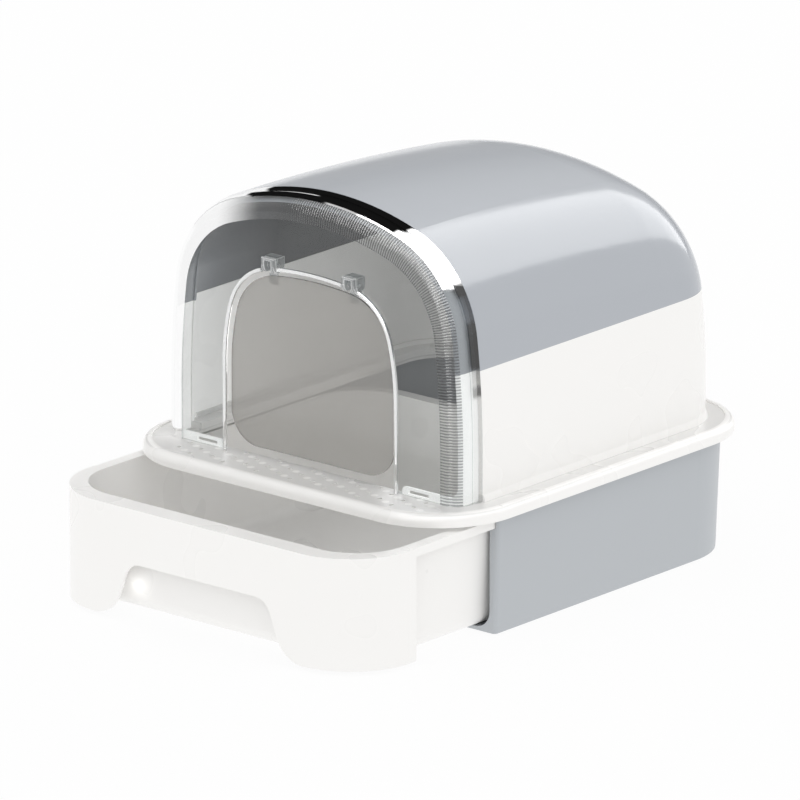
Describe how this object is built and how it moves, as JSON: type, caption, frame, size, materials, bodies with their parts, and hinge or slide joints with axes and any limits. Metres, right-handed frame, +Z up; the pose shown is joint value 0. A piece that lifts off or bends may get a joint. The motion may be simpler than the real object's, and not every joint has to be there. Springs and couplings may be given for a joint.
{
  "type": "drawer litter box",
  "caption": "Hooded pet litter box on a pull-out drawer, with a stepped deck, an arched two-tone hood and a clear fluted front with a two-way swinging flap.",
  "frame": {"origin": "On the floor, under the middle of the bounding box of the whole as it stands, with the drawer part way out.", "axes": "+Z up. +Y runs from the door and the drawer's front to the back, along the longest extent. +X runs to the right as seen from the door side; the object mirrors in the plane X = 0."},
  "size_m": [0.43, 0.5924, 0.398],
  "materials": {
    "white_plastic": "smooth moulded, satin gloss",
    "hood_grey": "smooth moulded, satin gloss",
    "base_grey": "smooth moulded, matt",
    "clear_plastic": "clear, lightly smoked, fluted round the edge",
    "clear_flap": "clear, lightly smoked",
    "hinge_grey": "smooth moulded",
    "pin_plastic": "smooth",
    "pad_rubber": "matt"
  },
  "bodies": {
    "base": {"base_housing": "base_grey", "foot_pads": "pad_rubber"},
    "drawer": {"drawer": "white_plastic"},
    "deck": {"deck_frame": "white_plastic"},
    "hood": {"hood_lower": "white_plastic", "hood_upper": "hood_grey"},
    "cover": {"front_cover": "clear_plastic", "hinge_clip_left": "hinge_grey", "hinge_clip_right": "hinge_grey", "hinge_pin_left": "pin_plastic", "hinge_pin_right": "pin_plastic"},
    "flap": {"flap_door": "clear_flap", "flap_hanger_left": "hinge_grey", "flap_hanger_right": "hinge_grey"}
  },
  "joints": [
    {"name": "drawer_slide", "type": "slide", "parent": "base", "child": "drawer", "axis": [0, -1, 0], "range_m": [-0.1151, 0.21]},
    {"name": "deck_lift", "type": "slide", "parent": "base", "child": "deck", "axis": [0, 0, 1], "range_m": [0, 0.06]},
    {"name": "hood_lift", "type": "slide", "parent": "deck", "child": "hood", "axis": [0, 0, 1], "range_m": [0, 0.06]},
    {"name": "cover_pull", "type": "slide", "parent": "hood", "child": "cover", "axis": [0, -1, 0], "range_m": [0, 0.02]},
    {"name": "flap_swing", "type": "hinge", "parent": "cover", "child": "flap", "pos_m": [0, -0.1293, 0.3235], "axis": [1, 0, 0], "range_deg": [-75, 75]}
  ]
}
